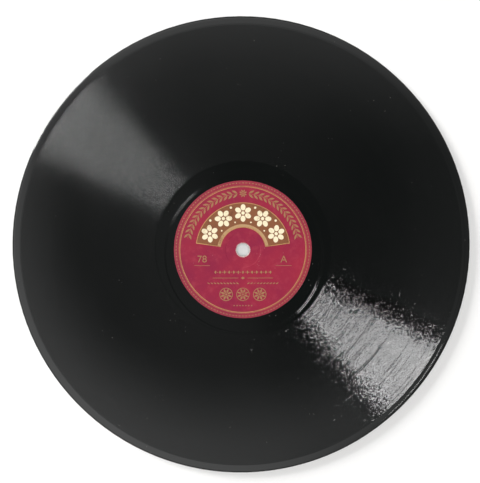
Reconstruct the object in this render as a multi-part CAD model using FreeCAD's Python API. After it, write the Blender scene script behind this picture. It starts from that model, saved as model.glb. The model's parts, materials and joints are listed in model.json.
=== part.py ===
import FreeCAD, Part
import math
import os

# Ten-inch shellac gramophone record for 78 turns a minute: one pressed disc, with a round paper
# label let into each side.
# Millimetres. The record lies flat. +Z is the spindle's axis and comes out of side A, +Y is the top
# of side A's label, and the origin is the centre of the spindle hole in the plane of side B.

# Disc
DIAMETER = 250.0
THICKNESS = 2.2
HOLE_RADIUS = 3.63              # through the disc and both labels; slips over a 7.2 mm spindle
EDGE_ROUND = THICKNESS / 2      # the edge is a full round

# Groove: a V between flat lands, 0.30 mm from turn to turn
GROOVE_WIDTH = 0.14
GROOVE_DEPTH = 0.07
PLAYING_PITCH = 0.30
RUN_OUT_WIDTH = 0.20            # the run-out and the locked ring are cut wider
RUN_OUT_DEPTH = 0.08
CUTTER_RISE = 0.02              # how far a cutter stands above the surface that it cuts

# Playing band. It stands in for its turns of groove, and lies as low as they do on average.
BAND_OUTER = 120.4
BAND_INNER = 48.2
BAND_DROP = GROOVE_WIDTH * GROOVE_DEPTH / 2 / PLAYING_PITCH
BAND_SLOPE = 0.05

# Lead-in: one steep half turn from the land at the edge to the playing band
LEAD_IN_START = 123.0
LEAD_IN_END = 120.7

# Run-out: it leaves the playing band, shifts off centre and ends in the locked ring, which throws
# the tone arm to and fro so that an automatic brake can feel it. The far side is where the ring is
# furthest out.
FAR_SIDE_ANGLE = 280.0          # degrees from +X
LOCKED_RADIUS = 42.55
LOCKED_OFFSET = 3.1
RING_GAP = 0.9                  # from the locked ring to the turn that runs beside it
RUN_OUT_START = 48.0            # on the near side

# Labels: paper, pressed into the hot disc until it lies just under the surface
LABEL_RADIUS = 37.6
LABEL_PAPER = 0.12
LABEL_BELOW_SURFACE = 0.03
LABEL_GAP = 0.05                # between the paper's edge and the wall of its recess
RECESS_RADIUS = LABEL_RADIUS + LABEL_GAP
RECESS_DEPTH = LABEL_PAPER + LABEL_BELOW_SURFACE

# Round mark that the press's centre block leaves about the hole
MARK_RADIUS = 9.5
MARK_DEPTH = 0.04
MARK_SLOPE = 0.1

ORIGIN = FreeCAD.Vector(0, 0, 0)
SPINDLE_AXIS = FreeCAD.Vector(0, 0, 1)


def at(radius, height):
    """Point of a section, in the XZ plane."""
    return FreeCAD.Vector(radius, 0, height)


def turned(edges, degrees=360):
    """Solid that a section's closed outline makes as it turns about the spindle's axis."""
    return Part.Face(Part.Wire(edges)).revolve(ORIGIN, SPINDLE_AXIS, degrees)


def joined(points):
    """Straight edges from point to point."""
    return [Part.LineSegment(a, b).toShape() for a, b in zip(points, points[1:])]


def turned_over(shape):
    """The same shape on the other side of the record, turned over about the X axis."""
    other = shape.copy()
    other.rotate(at(0, THICKNESS / 2), FreeCAD.Vector(1, 0, 0), 180)
    return other


def side_profile():
    """Side A's surface as (radius, depth below it), from the hole to where the edge begins."""
    return [
        (HOLE_RADIUS, RECESS_DEPTH + MARK_DEPTH),
        (MARK_RADIUS, RECESS_DEPTH + MARK_DEPTH),
        (MARK_RADIUS + MARK_SLOPE, RECESS_DEPTH),
        (RECESS_RADIUS, RECESS_DEPTH),
        (RECESS_RADIUS, 0),
        (BAND_INNER - BAND_SLOPE, 0),
        (BAND_INNER, BAND_DROP),
        (BAND_OUTER, BAND_DROP),
        (BAND_OUTER + BAND_SLOPE, 0),
        (DIAMETER / 2 - EDGE_ROUND, 0),
    ]


def plain_disc():
    """The pressed disc before its grooves: hole, two recesses, two playing bands, round edge."""
    side_a = [at(radius, THICKNESS - depth) for radius, depth in side_profile()]
    side_b = [at(radius, depth) for radius, depth in side_profile()]
    edge = Part.Arc(side_b[-1], at(DIAMETER / 2, THICKNESS / 2), side_a[-1]).toShape()
    return turned(joined(side_b) + [edge] + joined(side_a[::-1]) + joined([side_a[0], side_b[0]]))


def half_turn_cutter(start, end, width, depth):
    """V cutter for half a turn of side A's groove.

    start and end are where the groove crosses the line at FAR_SIDE_ANGLE, as distances from the
    spindle's axis, counted positive on the far side. The turn's centre is midway between them, so
    that each half turn runs smoothly into the next.
    """
    radius = abs(start - end) / 2
    centre = (start + end) / 2
    half_width = width / 2 * (depth + CUTTER_RISE) / depth
    bottom = at(radius, THICKNESS - depth)
    outer = at(radius + half_width, THICKNESS + CUTTER_RISE)
    inner = at(radius - half_width, THICKNESS + CUTTER_RISE)
    cutter = turned(joined([bottom, outer, inner, bottom]), 180)
    if start < 0:
        cutter.rotate(ORIGIN, SPINDLE_AXIS, 180)
    cutter.translate(at(centre, 0))
    cutter.rotate(ORIGIN, SPINDLE_AXIS, FAR_SIDE_ANGLE)
    return cutter


def lead_in_crossings():
    """Where the lead-in starts, on the line's far side, and where it ends, on its near side."""
    return [LEAD_IN_START, -LEAD_IN_END]


def run_out_crossings():
    """Where the run-out crosses the line, down to the locked ring."""
    ring_far = LOCKED_RADIUS + LOCKED_OFFSET
    ring_near = LOCKED_RADIUS - LOCKED_OFFSET
    return [-RUN_OUT_START, ring_far + RING_GAP, -ring_near - RING_GAP, ring_far, -ring_near,
            ring_far]


def cutters(crossings, width, depth):
    """One cutter for each half turn between two crossings."""
    return [half_turn_cutter(a, b, width, depth) for a, b in zip(crossings, crossings[1:])]


def groove_cutters():
    """All of side A's cutters."""
    return (cutters(lead_in_crossings(), GROOVE_WIDTH, GROOVE_DEPTH)
            + cutters(run_out_crossings(), RUN_OUT_WIDTH, RUN_OUT_DEPTH))


def shellac_disc():
    """The pressed disc, with its lead-in and run-out cut in both sides."""
    disc = plain_disc()
    for cutter in groove_cutters():
        disc = disc.cut(cutter)
        disc = disc.cut(turned_over(cutter))
    return disc


def label():
    """Side A's paper label, which follows the round mark in the floor of its recess."""
    floor = [
        (HOLE_RADIUS, RECESS_DEPTH + MARK_DEPTH),
        (MARK_RADIUS, RECESS_DEPTH + MARK_DEPTH),
        (MARK_RADIUS + MARK_SLOPE, RECESS_DEPTH),
        (LABEL_RADIUS, RECESS_DEPTH),
    ]
    under = [at(radius, THICKNESS - depth) for radius, depth in floor]
    face = [at(radius, THICKNESS - depth + LABEL_PAPER) for radius, depth in floor]
    return turned(joined(under + face[::-1] + under[:1]))


def write(name, shape):
    """Check one piece and save it as its own file."""
    print(name, "valid", shape.isValid(), "solids", len(shape.Solids), "faces", len(shape.Faces),
          "volume", round(shape.Volume, 2))
    shape.exportStep(os.path.join("parts", name + ".step"))


os.makedirs("parts", exist_ok=True)
side_a_label = label()
write("shellac_disc", shellac_disc())
write("label_side_a", side_a_label)
write("label_side_b", turned_over(side_a_label))
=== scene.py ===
import json
import math
import random

import bmesh
import bpy
from mathutils import Matrix, Vector

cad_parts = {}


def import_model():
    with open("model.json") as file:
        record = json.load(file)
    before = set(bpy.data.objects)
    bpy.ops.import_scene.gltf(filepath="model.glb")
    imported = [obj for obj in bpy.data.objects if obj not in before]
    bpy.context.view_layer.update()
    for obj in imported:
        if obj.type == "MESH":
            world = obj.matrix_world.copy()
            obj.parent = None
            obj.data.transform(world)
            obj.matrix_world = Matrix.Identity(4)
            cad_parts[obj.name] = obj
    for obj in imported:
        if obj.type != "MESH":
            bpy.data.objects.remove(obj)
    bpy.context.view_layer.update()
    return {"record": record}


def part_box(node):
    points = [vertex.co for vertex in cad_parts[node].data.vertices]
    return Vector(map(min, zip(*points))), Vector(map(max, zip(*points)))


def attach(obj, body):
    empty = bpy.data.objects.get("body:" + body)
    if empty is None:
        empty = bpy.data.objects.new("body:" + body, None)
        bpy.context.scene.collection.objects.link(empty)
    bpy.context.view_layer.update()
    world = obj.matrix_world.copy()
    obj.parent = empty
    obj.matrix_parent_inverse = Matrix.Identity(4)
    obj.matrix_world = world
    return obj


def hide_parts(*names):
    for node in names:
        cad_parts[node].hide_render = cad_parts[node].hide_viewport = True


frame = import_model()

# A ten-inch shellac record that lies flat on a pale table, seen from nearly straight above.
# Metres. +Z is the spindle's axis and +Y the top of side A's label. Both sides are made as side A,
# and the pieces of side B are then turned over about the X axis.

MM = 0.001
chance = random.Random(78)

# Sizes, of which the frame gives the thickness, the label's face and the hole
disc_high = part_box("shellac_disc")[1]
label_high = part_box("label_side_a")[1]
DISC_RADIUS = 125.0 * MM
THICKNESS = disc_high.z
LABEL_RADIUS = 37.6 * MM
LABEL_FACE = label_high.z
HOLE_RADIUS = frame["record"]["mounts"][0]["dims"]["r_mm"] * MM

# Section of the disc, and of the labels that lie in its recesses
EDGE_ROUND = THICKNESS / 2
EDGE_STEPS = 7
RECESS_RADIUS = LABEL_RADIUS + 0.05 * MM
RECESS_DEPTH = 0.15 * MM
RECESS_LIP = 0.03 * MM
MARK_RADIUS = 9.5 * MM
MARK_DEPTH = 0.04 * MM
MARK_SLOPE = 0.1 * MM
LABEL_PAPER = 0.12 * MM
PAPER_CREASE = math.radians(10)

# The groove, in millimetres. It is made of half turns, each centred on one line through the
# spindle, and its crossings of that line are its distances from the spindle, half turn by half turn.
GROOVE_HALF_WIDTH, GROOVE_DEPTH = 0.07, 0.07
RUN_OUT_HALF_WIDTH, RUN_OUT_DEPTH = 0.10, 0.08
FAR_SIDE_ANGLE = math.radians(280)
LEAD_IN = [123.0, 120.7]
PLAYING_START, PLAYING_STEP, PLAYING_HALF_TURNS = 120.3, 0.15, 479
RING_FAR, RING_NEAR, RING_GAP = 45.65, 39.45, 0.9
RUN_OUT = [RING_FAR + RING_GAP, RING_NEAR + RING_GAP, RING_FAR + RUN_OUT_HALF_WIDTH]
CROSSINGS = (
    LEAD_IN + [PLAYING_START - PLAYING_STEP * k for k in range(PLAYING_HALF_TURNS + 1)] + RUN_OUT)
RUN_OUT_START = len(CROSSINGS) - len(RUN_OUT) - 1       # the crossing where the playing band ends
RING_TURN = (len(CROSSINGS) - 1) // 2       # the last turn, which closes on itself
ROWS_BEFORE_GROOVE = 8
FADE_TURN = 1 / 8                           # the groove's ends rise to the surface over this share
TURN_STEPS = 120
ROW_SPACING = 0.1 * MM
PLAIN_INNER = 38.6
BAND_OUTER, BAND_INNER = 120.4 * MM, 48.2 * MM
BAND_FADE = 0.1 * MM
SOUND_RADIUS = 85 * MM                      # where the sound swings the walls by just their finish's share

# How far the groove walls' normals lean away from the spindle, in degrees from upright. In the
# playing band each pair is for the band's inner and its outer edge.
OUTER_WALL_LEANS = -45.8, -49.6
INNER_BOTTOM_LEANS, INNER_LIP_LEANS = (6.0, 12.0), (37.5, 31.5)
RUN_OUT_LEANS = 38.7, -43.0
BOTTOM_BELOW = 0.02 * MM        # a wall's corner that is deeper than this is at the groove's bottom

# Printed ink stands on the paper, and is sunk a little into it so that no gap shows
INK_RISE = 0.008 * MM
INK_SUNK = 0.006 * MM
INK_STEP = 0.0002 * MM          # stamps that overlap differ by this, so that no two faces coincide
LAYERS = {"panel": 1, "gold": 2, "cream": 2}

# Colours as the surface itself has them
PLUM = (0.330, 0.015, 0.042)
PLUM_DEEP = (0.252, 0.009, 0.044)
PLUM_FADED = (0.405, 0.050, 0.078)
GOLD = (0.560, 0.300, 0.120)
GOLD_DULL = (0.370, 0.185, 0.085)
BROWN = (0.235, 0.085, 0.034)
BROWN_DEEP = (0.150, 0.050, 0.020)
TAN = (0.480, 0.290, 0.140)
CREAM = (0.900, 0.800, 0.560)
CREAM_SHADE = (0.620, 0.470, 0.270)
TORN_PAPER = (0.640, 0.500, 0.420)


# Nodes for the finishes

class Finish:
    """A material whose colour, roughness and relief are worked out from Object coordinates."""

    def __init__(self, name, ior=1.5):
        self.material = bpy.data.materials.new(name)
        self.material.use_nodes = True
        self.tree = self.material.node_tree
        self.shader = self.tree.nodes["Principled BSDF"]
        self.shader.inputs["IOR"].default_value = ior
        self.place = self.tree.nodes.new("ShaderNodeTexCoord").outputs["Object"]

    def node(self, kind, inputs, output=0, **settings):
        """Adds a node. Inputs are numbers, colours or other nodes' outputs."""
        made = self.tree.nodes.new(kind)
        for key, value in settings.items():
            setattr(made, key, value)
        for key, value in inputs.items():
            self.feed(made.inputs[key], value)
        return made.outputs[output]

    def feed(self, socket, value):
        if isinstance(value, bpy.types.NodeSocket):
            self.tree.links.new(value, socket)
        elif isinstance(value, tuple) and socket.type == "RGBA":
            socket.default_value = value + (1.0,)
        else:
            socket.default_value = value

    def math(self, operation, first, second=0.0):
        return self.node("ShaderNodeMath", {0: first, 1: second}, operation=operation)

    def ranged(self, value, low, high, to_low=0.0, to_high=1.0, smooth=False):
        kind = "SMOOTHSTEP" if smooth else "LINEAR"
        return self.node("ShaderNodeMapRange", {0: value, 1: low, 2: high, 3: to_low, 4: to_high},
                         interpolation_type=kind)

    def mixed(self, share, first, second):
        return self.node("ShaderNodeMix", {0: share, 6: first, 7: second}, output=2, data_type="RGBA")

    def noise(self, vector, scale, detail=2.0, roughness=0.5):
        return self.node("ShaderNodeTexNoise", {"Vector": vector, "Scale": scale, "Detail": detail,
                                                "Roughness": roughness})

    def specks(self, vector, scale, size):
        """1 in small round specks, one to a cell, and 0 between them."""
        distance = self.node("ShaderNodeTexVoronoi", {"Vector": vector, "Scale": scale}, feature="F1")
        return self.ranged(distance, size, size * 0.6)

    def radius(self):
        """Distance from the spindle's axis, and the direction away from it."""
        flat = self.node("ShaderNodeVectorMath", {0: self.place, 1: (1, 1, 0)}, operation="MULTIPLY")
        away = self.node("ShaderNodeVectorMath", {0: flat}, operation="NORMALIZE")
        return self.node("ShaderNodeVectorMath", {0: flat}, output=1, operation="LENGTH"), away

    def along_groove(self, radius, away, turn_detail, radial_detail):
        """Coordinates that run round the record slowly and across it fast, with no seam."""
        scaled = self.node("ShaderNodeVectorMath", {0: away, "Scale": turn_detail}, operation="SCALE")
        up = self.node("ShaderNodeCombineXYZ", {2: self.math("MULTIPLY", radius, radial_detail)})
        return self.node("ShaderNodeVectorMath", {0: scaled, 1: up}, operation="ADD")

    def relief(self, height, distance, strength=1.0):
        return self.node("ShaderNodeBump", {"Height": height, "Distance": distance,
                                            "Strength": strength})

    def swung(self, away, around, outward):
        """The surface's normal, turned about the spindle's axis and leant away from it."""
        ahead = self.node("ShaderNodeVectorMath", {0: (0, 0, 1), 1: away}, operation="CROSS_PRODUCT")
        turned = self.tree.nodes.new("ShaderNodeNewGeometry").outputs["Normal"]
        for direction, amount in ((ahead, around), (away, outward)):
            shift = self.node("ShaderNodeVectorMath", {0: direction, "Scale": amount}, operation="SCALE")
            turned = self.node("ShaderNodeVectorMath", {0: turned, 1: shift}, operation="ADD")
        return self.node("ShaderNodeVectorMath", {0: turned}, operation="NORMALIZE")

    def finish(self, colour, roughness, normal=None):
        self.feed(self.shader.inputs["Base Color"], colour)
        self.feed(self.shader.inputs["Roughness"], roughness)
        if normal is not None:
            self.feed(self.shader.inputs["Normal"], normal)
        return self.material


def shellac_finish(name, least_rough, swing=0.0):
    """Gloss black, with wear along the groove and dust. A wall may also swing with the sound."""
    f = Finish(name, ior=1.54)
    radius, away = f.radius()
    bands = f.noise(f.along_groove(radius, away, 1.5, 420), 1, 4, 0.7)
    dust = f.math("MULTIPLY", f.specks(f.place, 420, 0.085), f.ranged(f.noise(f.place, 70), 0.60, 0.66))
    bloom = f.noise(f.place, 22, 5, 0.6)
    colour = f.mixed(bloom, (0.0012, 0.0020, 0.0018), (0.0036, 0.0043, 0.0041))
    colour = f.mixed(dust, colour, (0.22, 0.21, 0.19))
    rough = f.ranged(bands, 0.3, 0.7, least_rough, least_rough + 0.05)
    rough = f.math("ADD", rough, f.math("MULTIPLY", dust, 0.5))
    rough = f.math("ADD", rough, f.ranged(bloom, 0.45, 0.75, 0, 0.04))
    if not swing:
        return f.finish(colour, rough)
    inside = f.ranged(radius, BAND_OUTER, BAND_OUTER + BAND_FADE, 1, 0)
    band = f.math("MULTIPLY", inside, f.ranged(radius, BAND_INNER - BAND_FADE, BAND_INNER))
    loud = f.ranged(f.noise(f.along_groove(radius, away, 1.3, 300), 1, 2, 0.6), 0.40, 0.70, 0.8, 1.4)
    burst = f.ranged(f.noise(f.along_groove(radius, away, 2.6, 1900), 1, 0, 0.5), 0.74, 0.80, 0, 3.0)
    tighter = f.math("POWER", f.math("DIVIDE", SOUND_RADIUS, radius), 1.2)
    loud = f.math("MULTIPLY", f.math("ADD", loud, burst), f.math("MULTIPLY", tighter, swing))
    sound = f.math("SUBTRACT", f.noise(f.place, 1150, 0, 0.5), 0.5)
    scar = f.ranged(f.noise(f.along_groove(radius, away, 2.2, 1900), 1, 0, 0.4), 0.71, 0.73, 0, 0.22)
    around = f.math("MULTIPLY", f.math("MULTIPLY", sound, loud), band)
    return f.finish(colour, rough, f.swung(away, around, f.math("MULTIPLY", scar, band)))


def paper_finish():
    """Plum label paper: fibres, uneven dye, rubbed places and pale flecks."""
    f = Finish("label_plum_paper", ior=1.4)
    radius, away = f.radius()
    cloud = f.noise(f.place, 42, 4, 0.6)
    fibre = f.noise(f.place, 2600, 3, 0.6)
    mottle = f.noise(f.place, 320, 4, 0.65)
    colour = f.mixed(f.ranged(cloud, 0.35, 0.68), PLUM_DEEP, PLUM)
    colour = f.mixed(f.ranged(mottle, 0.50, 0.78, 0, 0.55), colour, PLUM_FADED)
    rim = f.ranged(radius, LABEL_RADIUS - 4.5 * MM, LABEL_RADIUS, 0, 0.35)
    colour = f.mixed(rim, colour, (0.300, 0.060, 0.062))
    fleck = f.math("MULTIPLY", f.specks(f.place, 700, 0.10), f.ranged(f.noise(f.place, 150), 0.60, 0.68))
    colour = f.mixed(f.math("MULTIPLY", fleck, 0.7), colour, TORN_PAPER)
    ring = f.ranged(f.math("ABSOLUTE", f.math("SUBTRACT", radius, MARK_RADIUS + MARK_SLOPE / 2)),
                    0.12 * MM, 0.02 * MM)
    worn = f.ranged(f.noise(f.along_groove(radius, away, 1.6, 40), 1, 3), 0.48, 0.62)
    colour = f.mixed(f.math("MULTIPLY", f.math("MULTIPLY", ring, worn), 0.55), colour, PLUM_FADED)
    rough = f.ranged(mottle, 0.3, 0.7, 0.50, 0.68)
    return f.finish(colour, rough, f.relief(fibre, 0.00003, 0.4))


def ink_finish(name, bright, dull, wear, roughness, metallic=0.0):
    """Printing ink that has rubbed thin in places, down to the colour under it."""
    f = Finish(name, ior=1.45)
    patchy = f.noise(f.place, 140, 5, 0.7)
    fine = f.noise(f.place, 1900, 3, 0.6)
    lost = f.math("ADD", f.math("MULTIPLY", patchy, 0.6), f.math("MULTIPLY", fine, 0.4))
    colour = f.mixed(f.ranged(lost, 0.56 - wear, 0.66 - wear), bright, dull)
    f.shader.inputs["Metallic"].default_value = metallic
    rough = f.ranged(fine, 0.3, 0.7, roughness, roughness + 0.2)
    return f.finish(colour, rough, f.relief(fine, 0.00002, 0.5))


def torn_finish():
    f = Finish("torn_paper", ior=1.4)
    fibre = f.noise(f.place, 3500, 4, 0.7)
    colour = f.mixed(f.ranged(fibre, 0.4, 0.65), (0.46, 0.20, 0.20), (0.86, 0.78, 0.72))
    return f.finish(colour, f.ranged(fibre, 0.3, 0.7, 0.75, 0.95), f.relief(fibre, 0.00005))


# The disc

def arc_radius(start, end, angle):
    """Distance from the spindle to a half turn, at an angle from the crossing where it starts."""
    shift, radius = (start - end) / 2, (start + end) / 2
    return shift * math.cos(angle) + math.sqrt(radius ** 2 - (shift * math.sin(angle)) ** 2)


def groove_at(turn, part):
    """Radius, half width and depth of the groove in mm, a share of the way round one turn."""
    if turn == RING_TURN:
        half = int(part * 2) % 2
        start, end = (RING_NEAR, RING_FAR) if half else (RING_FAR, RING_NEAR)
        return arc_radius(start, end, (part * 2 - half) * math.pi), RUN_OUT_HALF_WIDTH, RUN_OUT_DEPTH
    crossing = 2 * (turn + part)
    k = min(int(crossing), len(CROSSINGS) - 2)
    radius = arc_radius(CROSSINGS[k], CROSSINGS[k + 1], (crossing - k) * math.pi)
    wide = min(1.0, max(0.0, crossing - RUN_OUT_START))
    strength = min(1.0, (turn + part) / FADE_TURN, (RING_TURN - turn - part) / FADE_TURN)
    half_width = GROOVE_HALF_WIDTH + (RUN_OUT_HALF_WIDTH - GROOVE_HALF_WIDTH) * wide
    depth = GROOVE_DEPTH + (RUN_OUT_DEPTH - GROOVE_DEPTH) * wide
    return radius, half_width * strength, depth * strength


def groove_row(turn, side):
    """One of a groove turn's three lines: side is 1 for its outer lip, 0 for its bottom, -1 inner."""
    def place(part):
        radius, half_width, depth = groove_at(turn, part)
        return (radius + side * half_width) * MM, THICKNESS - (0 if side else depth) * MM
    return place


def plain_row(radius, height):
    """A line that is a true circle."""
    return lambda part: (radius, height)


def half_rows():
    """Every line of side A's half of the disc, from the hole to the edge, as (place, is it sharp)."""
    middle, floor = THICKNESS / 2, THICKNESS - RECESS_DEPTH
    rows = [(plain_row(HOLE_RADIUS, middle), True),
            (plain_row(HOLE_RADIUS, floor - MARK_DEPTH), True),
            (plain_row(MARK_RADIUS, floor - MARK_DEPTH), False),
            (plain_row(MARK_RADIUS + MARK_SLOPE, floor), False),
            (plain_row(RECESS_RADIUS, floor), True),
            (plain_row(RECESS_RADIUS, THICKNESS - RECESS_LIP), False),
            (plain_row(RECESS_RADIUS + RECESS_LIP, THICKNESS), True),
            (plain_row(PLAIN_INNER * MM, THICKNESS), False)]
    for turn in range(RING_TURN, -1, -1):
        plain = turn > RUN_OUT_START / 2
        rows += [(groove_row(turn, -1), True), (groove_row(turn, 0), plain),
                 (groove_row(turn, 1), True)]
    rows.append((plain_row((LEAD_IN[0] + 0.4) * MM, THICKNESS), False))
    for k in range(EDGE_STEPS + 1):
        angle = math.pi / 2 * (1 - k / EDGE_STEPS)
        radius = DISC_RADIUS - EDGE_ROUND * (1 - math.cos(angle))
        rows.append((plain_row(radius, middle + EDGE_ROUND * math.sin(angle)), k == EDGE_STEPS))
    return rows


def wall(row):
    """Which wall of a groove starts at this row: 1 for the inner, 2 for the outer, 0 for neither."""
    place = row - ROWS_BEFORE_GROOVE
    return (1, 2, 0)[place % 3] if 0 <= place < 3 * (RING_TURN + 1) else 0


def disc_half():
    """Side A's half of the disc, a closed shell with every turn of the groove.

    A row of points is spun about the spindle, and the points are then drawn in along the spiral, so
    that the row's end comes down on its own start one turn further in, where the two are merged.
    """
    rows = half_rows()
    bm = bmesh.new()
    start = [bm.verts.new((ROW_SPACING * (k + 1), 0, 0)) for k in range(len(rows))]
    line = [bm.edges.new(pair) for pair in zip(start, start[1:] + start[:1])]
    spun = bmesh.ops.spin(bm, geom=start + line, axis=(0, 0, 1), cent=(0, 0, 0),
                          steps=TURN_STEPS, angle=math.tau, use_merge=False)
    last = {item for item in spun["geom_last"] if isinstance(item, bmesh.types.BMVert)}
    row_of = {}
    for vert in bm.verts:
        row_of[vert] = round(vert.co.xy.length / ROW_SPACING) - 1
        part = 1.0 if vert in last else math.atan2(vert.co.y, vert.co.x) / math.tau % 1
        radius, height = rows[row_of[vert]][0](part)
        angle = FAR_SIDE_ANGLE + part * math.tau
        vert.co = (radius * math.cos(angle), radius * math.sin(angle), height)
    for edge in bm.edges:
        row, other = row_of[edge.verts[0]], row_of[edge.verts[1]]
        edge.smooth = not (row == other and rows[row][1])
    for face in bm.faces:
        lines = [row_of[vert] for vert in face.verts]
        face.material_index = wall(min(lines)) if min(lines) + 1 == max(lines) else 0
    bmesh.ops.remove_doubles(bm, verts=bm.verts, dist=0.0005 * MM)
    bmesh.ops.dissolve_degenerate(bm, edges=bm.edges, dist=0.0002 * MM)
    bmesh.ops.recalc_face_normals(bm, faces=bm.faces)
    return bm


def shade_walls(mesh):
    """Leans the walls' normals: flat outer walls, and inner ones that round into the bottom."""
    normals = [Vector()] * len(mesh.loops)
    for face in mesh.polygons:
        if face.material_index == 0:
            continue
        for loop in face.loop_indices:
            place = mesh.vertices[mesh.loops[loop].vertex_index].co
            bottom = min(place.z, THICKNESS - place.z) > BOTTOM_BELOW
            lean = wall_lean(face.material_index, place.xy.length, bottom)
            away = place.xy.normalized() * math.sin(lean)
            normals[loop] = Vector((away.x, away.y, math.copysign(math.cos(lean), face.normal.z)))
    mesh.normals_split_custom_set(normals)


def wall_lean(wall_side, radius, bottom):
    """How far a wall's normal leans away from the spindle, from upright."""
    if radius < BAND_INNER:
        return math.radians(RUN_OUT_LEANS[wall_side - 1])
    inner_wall = INNER_BOTTOM_LEANS if bottom else INNER_LIP_LEANS
    start, end = OUTER_WALL_LEANS if wall_side == 2 else inner_wall
    return math.radians(start + (end - start) * (radius - BAND_INNER) / (BAND_OUTER - BAND_INNER))


# The labels

def label_paper():
    """The paper: it dips at the round mark, and stops short of the hole, whose frayed edge is a piece of
    its own.
    """
    bm = bmesh.new()
    floor = LABEL_FACE - LABEL_PAPER
    dip = MARK_DEPTH
    section = [(HOLE_RADIUS + 0.3 * MM, floor - dip), (MARK_RADIUS, floor - dip),
               (MARK_RADIUS + MARK_SLOPE, floor), (LABEL_RADIUS - 0.05 * MM, floor),
               (LABEL_RADIUS, floor + 0.04 * MM), (LABEL_RADIUS, LABEL_FACE - 0.02 * MM),
               (LABEL_RADIUS - 0.08 * MM, LABEL_FACE), (MARK_RADIUS + MARK_SLOPE, LABEL_FACE),
               (MARK_RADIUS, LABEL_FACE - dip), (HOLE_RADIUS + 0.3 * MM, LABEL_FACE - dip)]
    verts = [bm.verts.new((radius, 0, height)) for radius, height in section]
    edges = [bm.edges.new(pair) for pair in zip(verts, verts[1:] + verts[:1])]
    bmesh.ops.spin(bm, geom=verts + edges, axis=(0, 0, 1), cent=(0, 0, 0), steps=144,
                   angle=math.tau, use_merge=True)
    bmesh.ops.recalc_face_normals(bm, faces=bm.faces)
    for edge in bm.edges:
        edge.smooth = edge.calc_face_angle(0) < PAPER_CREASE
    return bm


def frayed_hole():
    """The pale core of the paper, bared in an uneven ring where the spindle has worn it."""
    bm = bmesh.new()
    base, top = LABEL_FACE - MARK_DEPTH - 0.10 * MM, LABEL_FACE - MARK_DEPTH + 0.012 * MM
    inner, outer = HOLE_RADIUS + 0.02 * MM, HOLE_RADIUS + 0.42 * MM
    section = [(inner, base), (outer, base), (outer, top - 0.02 * MM), (outer - 0.12 * MM, top),
               (inner + 0.10 * MM, top), (inner, top - 0.05 * MM)]
    verts = [bm.verts.new((radius, 0, height)) for radius, height in section]
    edges = [bm.edges.new(pair) for pair in zip(verts, verts[1:] + verts[:1])]
    bmesh.ops.spin(bm, geom=verts + edges, axis=(0, 0, 1), cent=(0, 0, 0), steps=96,
                   angle=math.tau, use_merge=True)
    waves = [(chance.uniform(2, 31), chance.uniform(0, math.tau)) for _ in range(7)]
    for vert in bm.verts:
        angle = math.atan2(vert.co.y, vert.co.x)
        ragged = sum(math.sin(round(rate) * angle + shift) for rate, shift in waves) / len(waves)
        lower_right = 0.5 + 0.5 * math.cos(angle - math.radians(300))
        reach = 0.16 * MM * ragged + 0.12 * MM * (lower_right - 0.6)
        if vert.co.xy.length > inner + 0.15 * MM:
            scale = 1 + reach / vert.co.xy.length
            vert.co.x *= scale
            vert.co.y *= scale
    bmesh.ops.recalc_face_normals(bm, faces=bm.faces)
    return bm


class Print:
    """One ink's printing on a label, in millimetres across the label."""

    def __init__(self, layer):
        self.bm = bmesh.new()
        self.stamps = 0
        self.low = LABEL_FACE - INK_SUNK
        self.high = LABEL_FACE + INK_RISE * LAYERS[layer]

    def stamp(self, x, y, width, height, turn=0.0, sides=12, pointed=0.0):
        """A small flat shape: a dot, a lozenge, a leaf or a petal."""
        self.stamps += 1
        high = self.high + INK_STEP * (self.stamps % 11)
        middle = Vector((x * MM, y * MM, (self.low + high) / 2))
        shape = Matrix.Diagonal((width * MM, height * MM, high - self.low, 1))
        made = bmesh.ops.create_cone(self.bm, cap_ends=True, segments=sides, radius1=0.5, radius2=0.5,
                                     depth=1)
        for vert in made["verts"]:
            vert.co.y *= 1 - pointed * (2 * abs(vert.co.x)) ** 2
        bmesh.ops.transform(self.bm, verts=made["verts"],
                            matrix=Matrix.Translation(middle) @ Matrix.Rotation(turn, 4, "Z") @ shape)

    def around(self, radius, angle, width, height, turn=0.0, sides=12, pointed=0.0):
        """A stamp at a polar place, turned so that its width runs round the label."""
        a = math.radians(angle)
        self.stamp(radius * math.cos(a), radius * math.sin(a), width, height,
                   a - math.pi / 2 + math.radians(turn), sides, pointed)

    def bar(self, x, y, width, height):
        """A straight rule."""
        middle = Matrix.Translation((x * MM, y * MM, (self.low + self.high) / 2))
        shape = Matrix.Diagonal((width * MM, height * MM, self.high - self.low, 1))
        bmesh.ops.create_cube(self.bm, size=1, matrix=middle @ shape)

    def band(self, inner, outer, start=0.0, sweep=360.0):
        """A ring, or a stretch of one, between two radii."""
        a = math.radians(start)
        corners = [(inner, self.low), (outer, self.low), (outer, self.high), (inner, self.high)]
        verts = [self.bm.verts.new((r * MM * math.cos(a), r * MM * math.sin(a), z))
                 for r, z in corners]
        face = self.bm.faces.new(verts)
        whole = sweep == 360.0
        geom = verts + list(face.edges) + ([] if whole else [face])
        if whole:
            self.bm.faces.remove(face)
        bmesh.ops.spin(self.bm, geom=geom, axis=(0, 0, 1), cent=(0, 0, 0),
                       steps=max(4, round(sweep / 2.5)), angle=math.radians(sweep), use_merge=whole)

    def words(self, text, x, y, size):
        """Plain figures or a side letter."""
        curve = bpy.data.curves.new("figures", "FONT")
        curve.body, curve.size, curve.align_x, curve.align_y = text, size * MM, "CENTER", "CENTER"
        curve.extrude = (self.high - self.low) / 2
        holder = bpy.data.objects.new("figures", curve)
        mesh = bpy.data.meshes.new_from_object(holder)
        middle = Vector((x * MM, y * MM, (self.low + self.high) / 2))
        mesh.transform(Matrix.Translation(middle))
        self.bm.from_mesh(mesh)
        bpy.data.objects.remove(holder)
        bpy.data.curves.remove(curve)
        bpy.data.meshes.remove(mesh)


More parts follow.
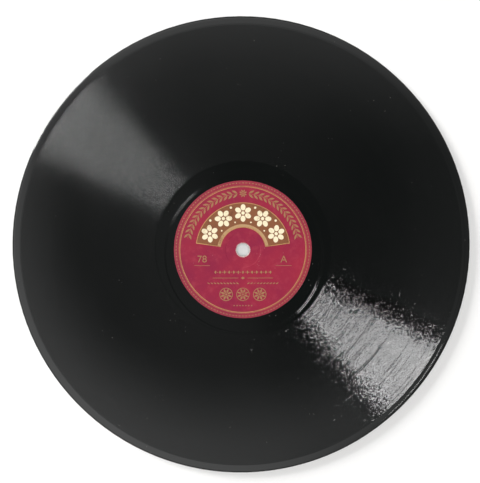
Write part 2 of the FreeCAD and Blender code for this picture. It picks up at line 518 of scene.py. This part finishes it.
def border(ink):
    """Beads and reels round the label's edge; rings() prints the double ring inside it."""
    count = 64
    for k in range(count):
        angle = 360 * k / count
        ink.around(36.35, angle, 0.75, 0.75, sides=8)
        ink.around(36.35, angle + 180 / count, 1.45, 0.42, sides=8)


def rings(ink):
    ink.band(34.15, 34.50)
    ink.band(34.75, 34.90)


def laurel(ink):
    """Two laurel branches that climb either side and meet at a rosette over the top."""
    stem, leaf_step = 30.7, 5.2
    for side in (-1, 1):
        ink.band(stem - 0.09, stem + 0.09, 97 if side < 0 else 12, 71)
        for k in range(14):
            angle = 90 + side * (76 - leaf_step * k)
            for wing in (-1, 1):
                ink.around(stem + wing * 1.15, angle, 3.3, 1.15, turn=side * wing * -34, pointed=0.75)
            ink.around(stem, angle + side * -2.2, 0.5, 0.5, sides=8)
    rosette(ink, 0, stem, 4.4, 8)


def rosette(ink, x, y, size, petals):
    """A round flower of pointed petals with a bead at its centre."""
    for k in range(petals):
        angle = math.tau * (k + 0.5) / petals
        reach = size * 0.30
        ink.stamp(x + reach * math.cos(angle), y + reach * math.sin(angle), size * 0.40, size * 0.17,
                  angle, pointed=0.7)
    ink.stamp(x, y, size * 0.17, size * 0.17)


def flower(ink, radius, angle, petals, size):
    """An open flower of round petals, at a polar place."""
    a = math.radians(angle)
    x, y = radius * math.cos(a), radius * math.sin(a)
    for k in range(petals):
        b = a + math.tau * k / petals
        ink.stamp(x + size * 0.32 * math.cos(b), y + size * 0.32 * math.sin(b), size * 0.36, size * 0.28, b)
    ink.stamp(x, y, size * 0.20, size * 0.20)


def rule_of_lozenges(ink, y, count, spacing, width, height):
    """A row of lozenges with a dot between each pair."""
    for k in range(count):
        x = (k - (count - 1) / 2) * spacing
        ink.stamp(x, y, width, height, 0, 4)
        if k < count - 1:
            ink.stamp(x + spacing / 2, y, 0.5, 0.5, sides=8)


def lower_field(ink, side_letter):
    """Speed and side in plain figures, ruled ornament, and three flowers in rings."""
    ink.words("78", -22.3, -5.2, 5.4)
    ink.words(side_letter, 22.3, -5.2, 5.4)
    for x in (-22.3, 22.3):
        ink.bar(x, -8.6, 8.5, 0.22)
    rule_of_lozenges(ink, -12.2, 13, 2.5, 1.3, 1.9)
    for side in (-1, 1):
        ink.bar(side * 9.5, -15.4, 14.0, 0.25)
        for k in range(10):
            ink.stamp(side * (3.0 + 1.75 * k), -18.3, 1.7, 0.62, side * 0.5, pointed=0.6)
    ink.stamp(0, -15.4, 2.2, 1.5, 0, 4)
    for k in range(-1, 2):
        ring = Print("gold")
        ring.band(3.25, 3.65)
        bmesh.ops.translate(ring.bm, verts=ring.bm.verts, vec=(k * 9.2 * MM, -24.4 * MM, 0))
        append(ink.bm, ring.bm)
        rosette(ink, k * 9.2, -24.4, 6.6, 8)
    for k in range(-3, 4):
        ink.stamp(k * 1.6, -30.6, 0.75, 0.75, sides=8)


def append(bm, other):
    """Adds one bmesh to another."""
    mesh = bpy.data.meshes.new("part")
    other.to_mesh(mesh)
    other.free()
    bm.from_mesh(mesh)
    bpy.data.meshes.remove(mesh)


def label_prints(side_letter):
    """The label's printing, ink by ink: (name, finish, bmesh)."""
    panel, strip, cream = Print("panel"), Print("panel"), Print("cream")
    gold, pale = Print("gold"), Print("gold")
    panel.band(14.0, 25.4, 9, 162)
    strip.band(12.6, 14.0, 9, 162)
    gold.band(25.4, 25.8, 7.8, 164.4)
    gold.band(12.2, 12.6, 7.8, 164.4)
    for start in (7.8, 171):
        gold.band(12.6, 25.4, start, 1.2)
    for k in range(5):
        flower(cream, 20.1, 26 + 32 * k, 6, 9.6)
    for k in range(4):
        for radius, width in ((23.9, 1.3), (15.6, 0.9)):
            cream.around(radius, 42 + 32 * k, width, width, sides=10)
    rings(gold)
    border(pale)
    laurel(pale)
    lower_field(pale, side_letter)
    return [("brown_panel", "brown", panel), ("tan_strip", "tan", strip), ("gold_rings", "gold", gold),
            ("dull_gold_print", "dull", pale), ("cream_flowers", "cream", cream)]


# Putting the pieces together

def finished(bm, name, materials, turned_over, smooth=True):
    """Makes a piece of the record from a bmesh, on side A or turned over to side B."""
    if turned_over:
        over = Matrix.Translation((0, 0, THICKNESS)) @ Matrix.Rotation(math.pi, 4, "X")
        bmesh.ops.transform(bm, matrix=over, verts=bm.verts)
    for face in bm.faces:
        face.smooth = smooth
    mesh = bpy.data.meshes.new(name)
    bm.to_mesh(mesh)
    bm.free()
    for finish in materials:
        mesh.materials.append(finish)
    piece = bpy.data.objects.new(name, mesh)
    bpy.context.scene.collection.objects.link(piece)
    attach(piece, "root")
    return piece


def record():
    """Both halves of the disc and both labels."""
    black = [shellac_finish("shellac_black", 0.06),
             shellac_finish("shellac_inner_wall", 0.19),
             shellac_finish("shellac_outer_wall", 0.08, 0.19)]
    plum, torn = [paper_finish()], [torn_finish()]
    inks = {"brown": ink_finish("brown_ink", BROWN, BROWN_DEEP, 0.02, 0.50),
            "tan": ink_finish("tan_ink", TAN, BROWN, 0.04, 0.50),
            "gold": ink_finish("gold_ink", GOLD, GOLD_DULL, 0.04, 0.35, 0.35),
            "dull": ink_finish("dull_gold_ink", GOLD_DULL, PLUM, 0.0, 0.42, 0.15),
            "cream": ink_finish("cream_ink", CREAM, CREAM_SHADE, 0.02, 0.55)}
    half = disc_half()
    for side, turned_over in (("a", False), ("b", True)):
        shell = finished(half.copy(), "shellac_half_" + side, black, turned_over)
        shade_walls(shell.data)
        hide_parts("shellac_disc")
        paper = finished(label_paper(), "label_paper_" + side, plum, turned_over)
        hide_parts("label_side_" + side)
        finished(frayed_hole(), "frayed_hole_" + side, torn, turned_over)
        for name, ink, layer in label_prints(side.upper()):
            bmesh.ops.recalc_face_normals(layer.bm, faces=layer.bm.faces)
            finished(layer.bm, name + "_" + side, [inks[ink]], turned_over, smooth=False)
    half.free()


# Table, lights and camera

WHITE_FROM, WHITE_BY = 0.25, 0.7            # distances from the spindle over which the table whitens


def table_top():
    """A wide pale table, which turns plain white to the eye well away from the record."""
    bm = bmesh.new()
    bmesh.ops.create_grid(bm, x_segments=1, y_segments=1, size=4)
    mesh = bpy.data.meshes.new("table")
    bm.to_mesh(mesh)
    bm.free()
    f = Finish("table_white", ior=1.3)
    soft = f.noise(f.place, 6, 3)
    mesh.materials.append(f.finish(f.mixed(soft, (0.93, 0.925, 0.915), (0.96, 0.955, 0.945)), 0.9))
    eye = f.tree.nodes.new("ShaderNodeLightPath").outputs["Is Camera Ray"]
    far = f.math("MULTIPLY", f.ranged(f.radius()[0], WHITE_FROM, WHITE_BY, smooth=True), eye)
    white = f.node("ShaderNodeEmission", {"Color": (1.0, 1.0, 1.0), "Strength": 1.0})
    shown = f.node("ShaderNodeMixShader", {0: far, 1: f.shader.outputs[0], 2: white})
    f.tree.links.new(shown, f.tree.nodes["Material Output"].inputs["Surface"])
    table = bpy.data.objects.new("table", mesh)
    bpy.context.scene.collection.objects.link(table)


def surroundings():
    """Dim room light with a paler ring overhead, brightest at the left, and white to the eye."""
    world = bpy.data.worlds.new("room")
    world.use_nodes = True
    tree = world.node_tree
    node, link = tree.nodes.new, tree.links.new
    direction = node("ShaderNodeTexCoord").outputs["Generated"]
    split = node("ShaderNodeSeparateXYZ")
    link(direction, split.inputs[0])

    def eased(value, low, high, to_low, to_high, kind="SMOOTHSTEP"):
        made = node("ShaderNodeMapRange")
        made.interpolation_type = kind
        link(value, made.inputs[0])
        for key, number in enumerate((low, high, to_low, to_high), 1):
            made.inputs[key].default_value = number
        return made.outputs[0]

    def combined(operation, first, second):
        made = node("ShaderNodeMath")
        made.operation = operation
        link(first, made.inputs[0])
        link(second, made.inputs[1])
        return made.outputs[0]

    up = split.outputs[2]
    toward = node("ShaderNodeVectorMath")
    toward.operation = "DOT_PRODUCT"
    side = math.radians(200)
    toward.inputs[1].default_value = (math.cos(side), math.sin(side), 0.0)
    link(direction, toward.inputs[0])
    near_left = eased(toward.outputs[1], -0.38, 0.38, 0.20, 1.55, "LINEAR")
    dim = eased(toward.outputs[1], -0.05, 0.10, 0.07, 0.20)
    ring = combined("MULTIPLY", eased(up, 0.962, 0.895, 0, 1), near_left)
    ring = combined("ADD", ring, eased(split.outputs[1], 0.10, 0.45, 0, 0.94))
    ring = combined("MULTIPLY", ring, eased(up, 0.766, 0.866, 0, 1))
    total = combined("ADD", combined("ADD", ring, dim), eased(up, 0.15, 0.02, 0, 0.42))
    seen = combined("MAXIMUM", total, node("ShaderNodeLightPath").outputs["Is Camera Ray"])
    link(seen, tree.nodes["Background"].inputs["Strength"])
    tree.nodes["Background"].inputs["Color"].default_value = (1, 1, 1, 1)
    bpy.context.scene.world = world


def area_light(name, azimuth, zenith, distance, width, height, radiance, in_gloss=True):
    """A soft rectangular lamp that faces the record. Angles in degrees, sizes in metres."""
    lamp = bpy.data.lights.new(name, "AREA")
    lamp.shape = "RECTANGLE"
    lamp.size, lamp.size_y = width, height
    lamp.energy = radiance * math.pi * width * height
    holder = bpy.data.objects.new(name, lamp)
    holder.visible_glossy = in_gloss
    bpy.context.scene.collection.objects.link(holder)
    a, z = math.radians(azimuth), math.radians(zenith)
    away = Vector((math.cos(a) * math.sin(z), math.sin(a) * math.sin(z), math.cos(z)))
    holder.location = away * distance
    holder.rotation_euler = away.to_track_quat("Z", "Y").to_euler()


def camera():
    """Nearly straight down, from where the photograph was taken."""
    data = bpy.data.cameras.new("camera")
    data.lens, data.sensor_width = 38.12, 36.0
    holder = bpy.data.objects.new("camera", data)
    bpy.context.scene.collection.objects.link(holder)
    right = Vector((0.99982, 0.00101, 0.01877))
    up = Vector((0.0, 0.99854, -0.05397))
    forward = Vector((0.01880, -0.05396, -0.99837))
    eye = Vector((-6.874, 19.618, 277.997)) * MM + Vector((0, 0, THICKNESS))
    holder.matrix_world = Matrix.Translation(eye) @ Matrix((right, up, -forward)).transposed().to_4x4()
    bpy.context.scene.camera = holder


record()
table_top()
surroundings()
area_light("window", 145, 77.5, 8, 3.3, 1.82, 59)
area_light("soft_ceiling", 145, 0, 2.4, 2.2, 2.2, 1.9, in_gloss=False)
camera()
bpy.context.scene.view_settings.view_transform = "Standard"
